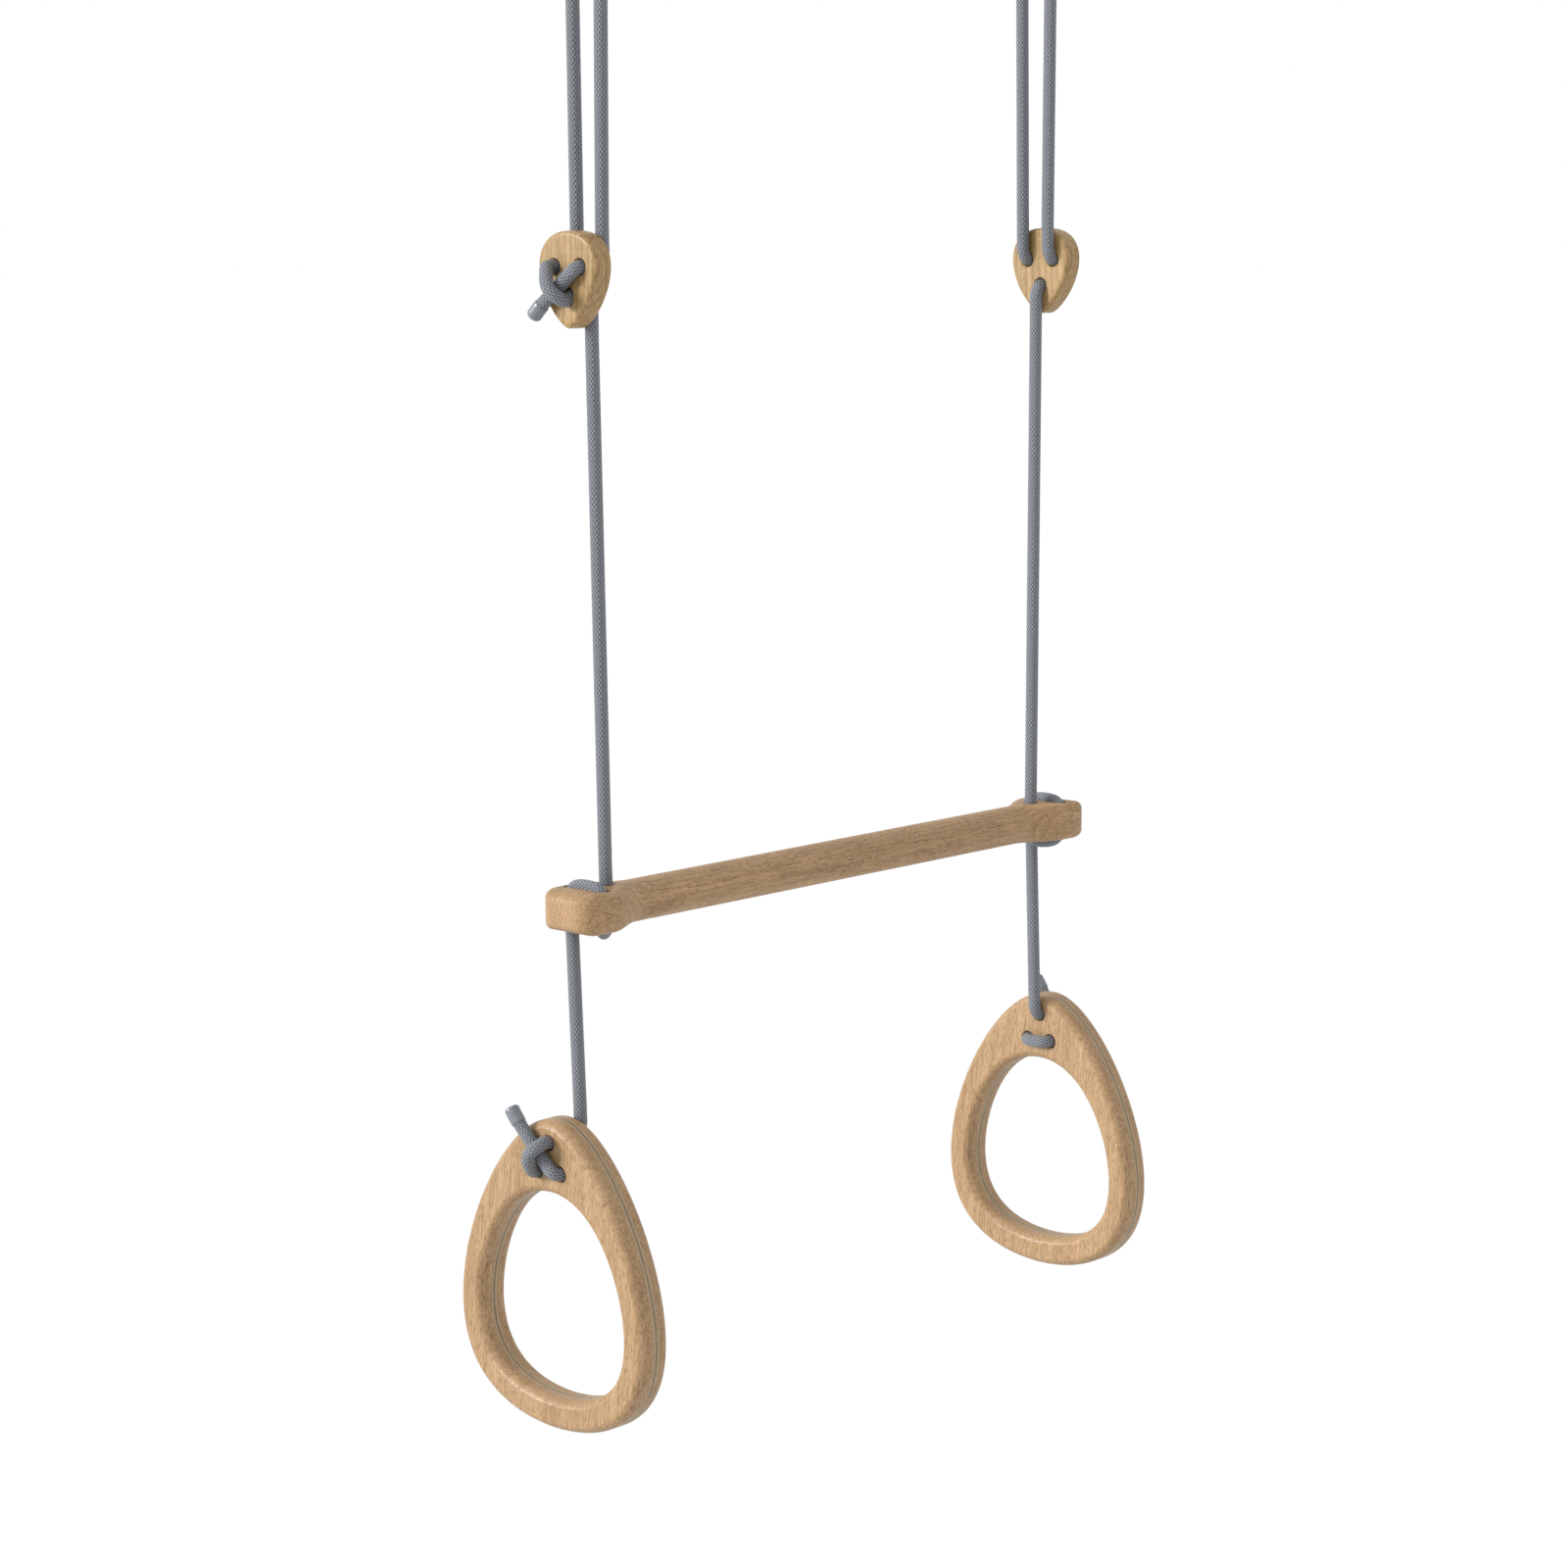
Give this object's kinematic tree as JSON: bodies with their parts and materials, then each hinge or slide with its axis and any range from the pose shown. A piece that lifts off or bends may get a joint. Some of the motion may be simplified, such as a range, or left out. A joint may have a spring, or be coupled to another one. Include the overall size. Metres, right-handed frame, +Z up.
{
  "type": "gymnastics rings with trapeze bar",
  "caption": "Wooden trapeze bar with egg-shaped gymnastics rings on ropes, height-adjusted by wooden rope plates, hung from ceiling hangers.",
  "frame": {"origin": "ceiling plane, midway between the two hangers' rollers", "axes": "+X along the trapeze bar towards the right ring, +Y the way the bar swings, away from the viewer, +Z up"},
  "size_m": [0.6368, 0.1974, 1.1337],
  "materials": {
    "oiled_oak": "oiled oak with open grain",
    "pale_oak": "oiled pale oak",
    "core_ply": "glued veneer layers seen on edge",
    "braided_rope": "braided polyester, matt with a slight sheen",
    "shrink_sleeve": "clear shrink sleeve over the rope",
    "zinc_steel": "bright zinc plated",
    "nylon": "turned natural nylon"
  },
  "bodies": {
    "ceiling_hangers": {"left_hanger_bracket": "zinc_steel", "left_hanger_bolt": "zinc_steel", "left_hanger_nut": "zinc_steel", "left_hanger_washer_inner": "zinc_steel", "left_hanger_washer_outer": "zinc_steel", "right_hanger_bracket": "zinc_steel", "right_hanger_bolt": "zinc_steel", "right_hanger_nut": "zinc_steel", "right_hanger_washer_inner": "zinc_steel", "right_hanger_washer_outer": "zinc_steel"},
    "swinging_ropes": {"left_hanger_roller": "nylon", "left_rope_bight": "braided_rope", "left_far_strand": "braided_rope", "left_near_strand": "braided_rope", "right_hanger_roller": "nylon", "right_rope_bight": "braided_rope", "right_far_strand": "braided_rope", "right_near_strand": "braided_rope"},
    "trapeze": {"trapeze_bar": "oiled_oak", "left_bar_weave": "braided_rope", "left_main_rope": "braided_rope", "right_bar_weave": "braided_rope", "right_main_rope": "braided_rope"},
    "left_rope_adjuster": {"left_adjuster": "pale_oak", "left_adjuster_loop": "braided_rope", "left_adjuster_tail": "braided_rope", "left_adjuster_tail_sleeve": "shrink_sleeve"},
    "left_ring_hanger": {"left_ring_rope": "braided_rope"},
    "left_ring": {"left_ring_inner_lamella": "oiled_oak", "left_ring_core": "core_ply", "left_ring_outer_lamella": "oiled_oak", "left_ring_knot": "braided_rope", "left_ring_knot_sleeve": "shrink_sleeve"},
    "right_rope_adjuster": {"right_adjuster": "pale_oak", "right_adjuster_loop": "braided_rope", "right_adjuster_tail": "braided_rope", "right_adjuster_tail_sleeve": "shrink_sleeve"},
    "right_ring_hanger": {"right_ring_rope": "braided_rope"},
    "right_ring": {"right_ring_inner_lamella": "oiled_oak", "right_ring_core": "core_ply", "right_ring_outer_lamella": "oiled_oak", "right_ring_knot": "braided_rope", "right_ring_knot_sleeve": "shrink_sleeve"}
  },
  "joints": [
    {"name": "swing", "type": "hinge", "parent": "ceiling_hangers", "child": "swinging_ropes", "pos_m": [0, 0, -0.045], "axis": [1, 0, 0], "range_deg": [-50, 50]},
    {"name": "trapeze_height", "type": "slide", "parent": "swinging_ropes", "child": "trapeze", "axis": [0, 0, 1], "range_m": [0, 0.12], "deforming": ["left_main_rope", "right_main_rope"]},
    {"name": "left_adjuster_slide", "type": "slide", "parent": "swinging_ropes", "child": "left_rope_adjuster", "axis": [0, 0, 1], "range_m": [-0.12, 0], "deforming": ["left_far_strand", "left_near_strand"]},
    {"name": "left_ring_swing", "type": "hinge", "parent": "trapeze", "child": "left_ring_hanger", "pos_m": [-0.265, 0.0155, -0.7605], "axis": [1, 0, 0], "range_deg": [-60, 60], "deforming": ["left_ring_rope"]},
    {"name": "left_ring_twist", "type": "hinge", "parent": "left_ring_hanger", "child": "left_ring", "pos_m": [-0.2642, 0.0114, -0.8888], "axis": [0, 0, 1], "range_deg": [-90, 90]},
    {"name": "right_adjuster_slide", "type": "slide", "parent": "swinging_ropes", "child": "right_rope_adjuster", "axis": [0, 0, 1], "range_m": [-0.12, 0], "deforming": ["right_far_strand", "right_near_strand"]},
    {"name": "right_ring_swing", "type": "hinge", "parent": "trapeze", "child": "right_ring_hanger", "pos_m": [0.265, 0.0155, -0.7605], "axis": [1, 0, 0], "range_deg": [-60, 60], "deforming": ["right_ring_rope"]},
    {"name": "right_ring_twist", "type": "hinge", "parent": "right_ring_hanger", "child": "right_ring", "pos_m": [0.2642, 0.0114, -0.8888], "axis": [0, 0, 1], "range_deg": [-90, 90]}
  ],
  "couplings": [
    {"joint": "left_adjuster_slide", "follows": "trapeze_height", "ratio": -1},
    {"joint": "right_adjuster_slide", "follows": "trapeze_height", "ratio": -1}
  ]
}
